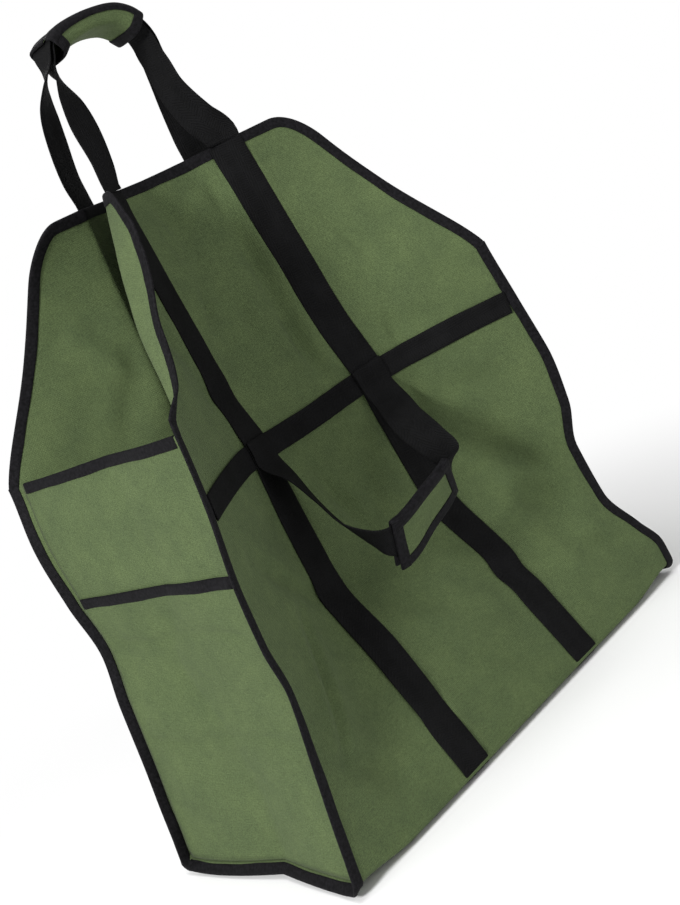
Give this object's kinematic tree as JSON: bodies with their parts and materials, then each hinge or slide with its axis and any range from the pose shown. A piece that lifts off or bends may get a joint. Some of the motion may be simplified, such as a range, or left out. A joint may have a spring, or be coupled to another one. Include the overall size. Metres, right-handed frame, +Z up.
{
  "type": "canvas log carrier",
  "caption": "Open-topped canvas bag with webbing straps, side handles and joined top loops, for carrying firewood.",
  "frame": {"origin": "on the floor, below the middle of the whole bag's bounding box", "axes": "+X along the bag to its right end, the front wall faces -Y, +Z up"},
  "size_m": [0.5924, 0.3542, 0.8519],
  "materials": {
    "canvas": "matte coated weave",
    "webbing": "ribbed polypropylene webbing, low sheen",
    "tape": "folded grosgrain tape, low sheen"
  },
  "bodies": {
    "root": {"main_sheet": "canvas", "side_binding_left": "tape", "side_binding_right": "tape", "rim_binding_front": "tape", "rim_binding_back": "tape", "end_panel_left": "canvas", "end_panel_right": "canvas", "end_top_binding_left": "tape", "end_top_binding_right": "tape", "end_pocket_left": "canvas", "end_pocket_right": "canvas", "pocket_top_binding_left": "tape", "pocket_top_binding_right": "tape", "cross_strap_front": "webbing", "cross_strap_back": "webbing", "strap_left": "webbing", "strap_right": "webbing", "top_handle_front": "webbing", "top_handle_back": "webbing", "top_grip": "canvas", "top_grip_binding": "tape", "side_handle_front": "webbing", "side_handle_back": "webbing", "side_grip_front": "canvas", "side_grip_front_binding": "tape", "side_grip_back": "canvas", "side_grip_back_binding": "tape"}
  },
  "joints": []
}
